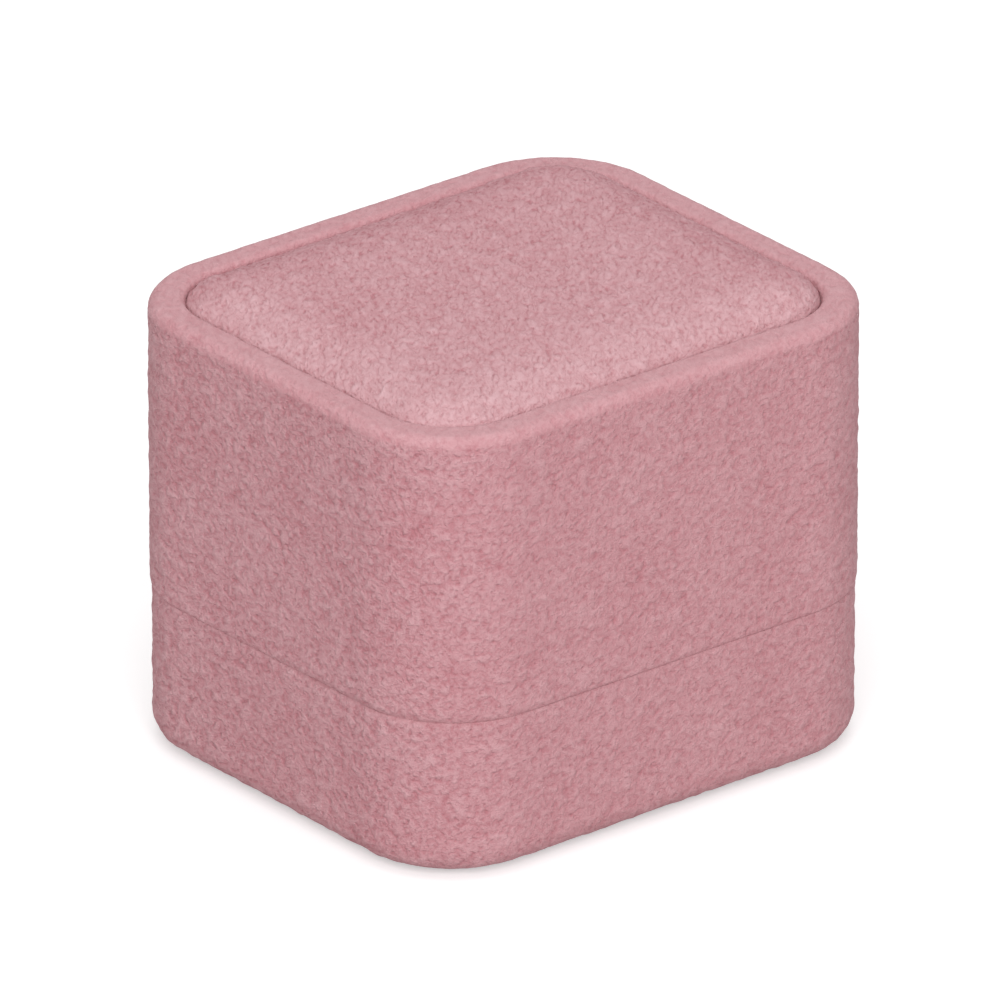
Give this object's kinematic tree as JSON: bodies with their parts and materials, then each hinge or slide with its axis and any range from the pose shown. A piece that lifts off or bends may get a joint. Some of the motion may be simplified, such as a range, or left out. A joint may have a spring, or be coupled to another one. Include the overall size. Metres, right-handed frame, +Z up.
{
  "type": "jewelry box",
  "caption": "Small velvet-covered ring box with rounded corners: a tall lift-off lid with a padded top panel over a shallow base, a fabric-covered neck and padded ring rolls.",
  "frame": {"origin": "on the table under the middle of the base", "axes": "+Z up, +X along the longer side, and the front at -Y"},
  "size_m": [0.06, 0.0524, 0.0495],
  "materials": {
    "outer_velvet": "matte",
    "inner_velvet": "matte",
    "moulding": "matte",
    "card": "matte",
    "foam": "matte",
    "bottom_paper": "matte"
  },
  "bodies": {
    "base": {"bottom_card": "bottom_paper", "base_tray": "moulding", "base_velvet": "outer_velvet", "neck_card": "card", "neck_velvet": "inner_velvet", "insert_card": "card", "front_roll_foam": "foam", "front_roll_velvet": "inner_velvet", "middle_roll_foam": "foam", "middle_roll_velvet": "inner_velvet", "rear_roll_foam": "foam", "rear_roll_velvet": "inner_velvet"},
    "lid": {"lid_shell": "moulding", "lid_velvet": "outer_velvet", "lid_lining": "inner_velvet", "top_panel_card": "card", "top_panel_foam": "foam", "top_panel_velvet": "outer_velvet", "ceiling_pad_card": "card", "ceiling_pad_foam": "foam", "ceiling_pad_velvet": "inner_velvet"}
  },
  "joints": [
    {"name": "lid_lift", "type": "slide", "parent": "base", "child": "lid", "axis": [0, 0, 1], "range_m": [0, 0.04]}
  ]
}
